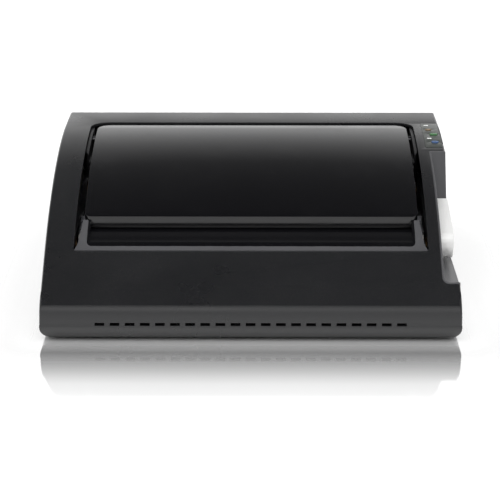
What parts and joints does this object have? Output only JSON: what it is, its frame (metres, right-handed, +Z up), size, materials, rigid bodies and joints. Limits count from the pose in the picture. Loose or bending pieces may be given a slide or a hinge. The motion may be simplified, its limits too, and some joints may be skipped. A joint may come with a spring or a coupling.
{
  "type": "comb binding machine",
  "caption": "Desktop machine that punches a row of rectangular holes in paper and opens plastic combs, with a lid, a side lever, lit buttons and a chip drawer.",
  "frame": {"origin": "on the table, under the middle of the machine's box", "axes": "+X to the user's right, +Y to the rear, +Z up"},
  "size_m": [0.4, 0.36, 0.143],
  "materials": {
    "housing_black": "satin moulded",
    "gloss_black": "polished",
    "frame_grey": "fine grained",
    "inner_black": "matt moulded",
    "lever_silver": "satin silver lacquer",
    "steel": "ground",
    "zinc_steel": "zinc plated sheet",
    "brass": "turned",
    "gear_white": "natural acetal",
    "rubber": "matt",
    "board_green": "solder resist",
    "core_dark": "varnished",
    "key_green": "translucent",
    "key_blue": "translucent",
    "key_amber": "translucent",
    "lens_clear": "clear",
    "screw_black": "black oxide"
  },
  "bodies": {
    "root": {"base_pan": "housing_black", "upper_housing": "housing_black", "rubber_feet": "rubber", "housing_screws": "screw_black", "inner_frame": "frame_grey", "finger_tray": "gloss_black", "hinge_pins": "steel", "lever_recess_liner": "frame_grey", "comb_rake": "zinc_steel", "comb_deck": "inner_black", "die_plate": "steel", "guide_plate": "steel", "throat_spacers": "steel", "punch_cover": "inner_black", "rear_deck": "inner_black", "idler_axle": "steel", "drive_motor": "zinc_steel", "left_frame": "zinc_steel", "right_frame": "zinc_steel", "tie_rods": "steel", "frame_screws": "zinc_steel", "shaft_bushes": "brass", "drawer_rails": "inner_black", "drawer_switch": "inner_black", "control_bezel": "inner_black", "indicator_lights": "lens_clear", "control_board": "board_green", "key_switches": "inner_black", "power_board": "board_green", "power_parts": "core_dark", "service_panel": "zinc_steel", "mains_inlet": "inner_black", "inlet_pins": "brass", "switch_housing": "inner_black"},
    "lid": {"lid_panel": "gloss_black"},
    "lever": {"binding_lever": "lever_silver", "lever_shaft": "steel", "lever_screw": "screw_black", "comb_pinions": "gear_white"},
    "hook_carriage": {"hook_plate": "zinc_steel", "comb_racks": "zinc_steel"},
    "punch_drive": {"punch_shaft": "steel", "ram_gears": "steel", "drive_gear": "gear_white"},
    "ram": {"punch_ram": "zinc_steel", "punch_pins": "steel"},
    "idler": {"idler_gear": "gear_white"},
    "motor_rotor": {"motor_pinion": "brass"},
    "margin_knob": {"margin_dial": "frame_grey", "margin_pinion": "gear_white"},
    "margin_blade": {"margin_stop": "zinc_steel"},
    "edge_slider": {"edge_guide": "frame_grey"},
    "drawer": {"chip_drawer": "housing_black"},
    "green_key": {"green_button": "key_green"},
    "blue_key": {"blue_button": "key_blue"},
    "amber_key": {"amber_button": "key_amber"},
    "mains_rocker": {"rocker": "gloss_black"}
  },
  "joints": [
    {"name": "lid_open", "type": "hinge", "parent": "root", "child": "lid", "pos_m": [0, 0.086, 0.133], "axis": [-1, 0, 0], "range_deg": [0, 100]},
    {"name": "lever_pull", "type": "hinge", "parent": "root", "child": "lever", "pos_m": [0, -0.068, 0.062], "axis": [1, 0, 0], "range_deg": [0, 90]},
    {"name": "hook_slide", "type": "slide", "parent": "root", "child": "hook_carriage", "axis": [0, -1, 0], "range_m": [0, 0.0206]},
    {"name": "punch_turn", "type": "hinge", "parent": "root", "child": "punch_drive", "pos_m": [0, 0.07, 0.082], "axis": [1, 0, 0], "range_deg": [0, 57.5]},
    {"name": "ram_slide", "type": "slide", "parent": "root", "child": "ram", "axis": [0, -1, 0], "range_m": [0, 0.01]},
    {"name": "idler_turn", "type": "hinge", "parent": "root", "child": "idler", "pos_m": [0, 0.09616, 0.05584], "axis": [1, 0, 0], "range_deg": [-246, 0]},
    {"name": "motor_turn", "type": "hinge", "parent": "root", "child": "motor_rotor", "pos_m": [0, 0.12435, 0.04558], "axis": [1, 0, 0], "range_deg": [0, 983]},
    {"name": "margin_turn", "type": "hinge", "parent": "root", "child": "margin_knob", "pos_m": [0.158, 0.008, 0.104], "axis": [0, -1, 0], "range_deg": [0, 42]},
    {"name": "margin_slide", "type": "slide", "parent": "root", "child": "margin_blade", "axis": [0, 0, -1], "range_m": [0, 0.0029]},
    {"name": "edge_slide", "type": "slide", "parent": "root", "child": "edge_slider", "axis": [1, 0, 0], "range_m": [0, 0.02]},
    {"name": "drawer_pull", "type": "slide", "parent": "root", "child": "drawer", "axis": [-1, 0, 0], "range_m": [0, 0.18]},
    {"name": "green_press", "type": "slide", "parent": "root", "child": "green_key", "axis": [0, 0, -1], "range_m": [0, 0.0008], "stiffness_N_per_m": 600},
    {"name": "blue_press", "type": "slide", "parent": "root", "child": "blue_key", "axis": [0, 0, -1], "range_m": [0, 0.0008], "stiffness_N_per_m": 600},
    {"name": "amber_press", "type": "slide", "parent": "root", "child": "amber_key", "axis": [0, 0, -1], "range_m": [0, 0.0008], "stiffness_N_per_m": 600},
    {"name": "mains_tip", "type": "hinge", "parent": "root", "child": "mains_rocker", "pos_m": [0.093, 0.173, 0.04], "axis": [1, 0, 0], "range_deg": [0, 16]}
  ],
  "couplings": [
    {"joint": "hook_slide", "follows": "lever_pull", "m_per_rad": 0.013},
    {"joint": "punch_turn", "follows": "ram_slide", "rad_per_m": 100},
    {"joint": "idler_turn", "follows": "ram_slide", "rad_per_m": -428.57},
    {"joint": "motor_turn", "follows": "ram_slide", "rad_per_m": 1714.3},
    {"joint": "margin_turn", "follows": "margin_slide", "rad_per_m": 250}
  ]
}
